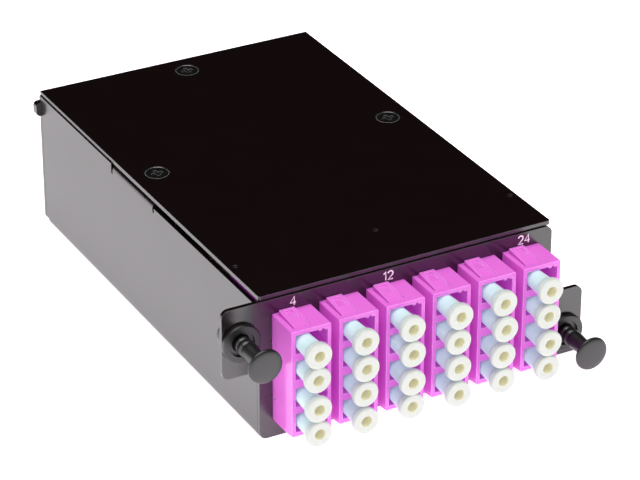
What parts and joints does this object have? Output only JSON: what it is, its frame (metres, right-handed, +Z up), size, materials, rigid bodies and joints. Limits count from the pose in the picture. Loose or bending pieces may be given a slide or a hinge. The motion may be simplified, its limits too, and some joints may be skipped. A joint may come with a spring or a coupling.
{
  "type": "fibre cassette",
  "caption": "Shallow black sheet metal box with a row of violet quad fibre adapters and dust caps in front, diagonal ears with push-pull latches, and multi-fibre ports behind.",
  "frame": {"origin": "below the centre of the whole object, on the plane of the tray's underside", "axes": "+Z up, -Y towards the front ports, +X to the right seen from the front"},
  "size_m": [0.0902, 0.1476, 0.035],
  "materials": {
    "black_paint": "semi-gloss powder coat",
    "black_steel": "black oxide",
    "violet_plastic": "smooth moulded",
    "cap_plastic": "translucent white",
    "black_nylon": "moulded nylon",
    "black_plastic": "moulded",
    "white_plastic": "moulded",
    "fibre_jacket": "smooth extruded",
    "zirconia": "polished"
  },
  "bodies": {
    "cassette": {"alignment_sleeves": "zirconia", "base_tray": "black_paint", "connector_boots": "white_plastic", "cover_screws": "black_steel", "dust_cap_1": "cap_plastic", "dust_cap_10": "cap_plastic", "dust_cap_11": "cap_plastic", "dust_cap_12": "cap_plastic", "dust_cap_13": "cap_plastic", "dust_cap_14": "cap_plastic", "dust_cap_15": "cap_plastic", "dust_cap_16": "cap_plastic", "dust_cap_17": "cap_plastic", "dust_cap_18": "cap_plastic", "dust_cap_19": "cap_plastic", "dust_cap_2": "cap_plastic", "dust_cap_20": "cap_plastic", "dust_cap_21": "cap_plastic", "dust_cap_22": "cap_plastic", "dust_cap_23": "cap_plastic", "dust_cap_24": "cap_plastic", "dust_cap_3": "cap_plastic", "dust_cap_4": "cap_plastic", "dust_cap_5": "cap_plastic", "dust_cap_6": "cap_plastic", "dust_cap_7": "cap_plastic", "dust_cap_8": "cap_plastic", "dust_cap_9": "cap_plastic", "fan_out_block_left": "black_plastic", "fan_out_block_right": "black_plastic", "fibres_left": "fibre_jacket", "fibres_right": "fibre_jacket", "front_plate": "black_paint", "inner_connectors_1": "white_plastic", "inner_connectors_2": "white_plastic", "inner_connectors_3": "white_plastic", "inner_connectors_4": "white_plastic", "inner_connectors_5": "white_plastic", "inner_connectors_6": "white_plastic", "latch_grommet_left": "black_nylon", "latch_grommet_right": "black_nylon", "quad_adapter_1": "violet_plastic", "quad_adapter_2": "violet_plastic", "quad_adapter_3": "violet_plastic", "quad_adapter_4": "violet_plastic", "quad_adapter_5": "violet_plastic", "quad_adapter_6": "violet_plastic", "rear_adapter_left": "black_plastic", "rear_adapter_right": "black_plastic", "rear_adapter_screws": "black_steel", "rear_cap_left": "black_plastic", "rear_cap_right": "black_plastic", "rear_connector_boots": "black_plastic", "rear_connector_left": "black_plastic", "rear_connector_right": "black_plastic", "top_cover": "black_paint", "trunk_cables": "fibre_jacket"},
    "left_plunger": {"latch_plunger_left": "black_nylon"},
    "right_plunger": {"latch_plunger_right": "black_nylon"}
  },
  "joints": [
    {"name": "left_latch_push", "type": "slide", "parent": "cassette", "child": "left_plunger", "axis": [0, 1, 0], "range_m": [0, 0.0095]},
    {"name": "right_latch_push", "type": "slide", "parent": "cassette", "child": "right_plunger", "axis": [0, 1, 0], "range_m": [0, 0.0095]}
  ]
}
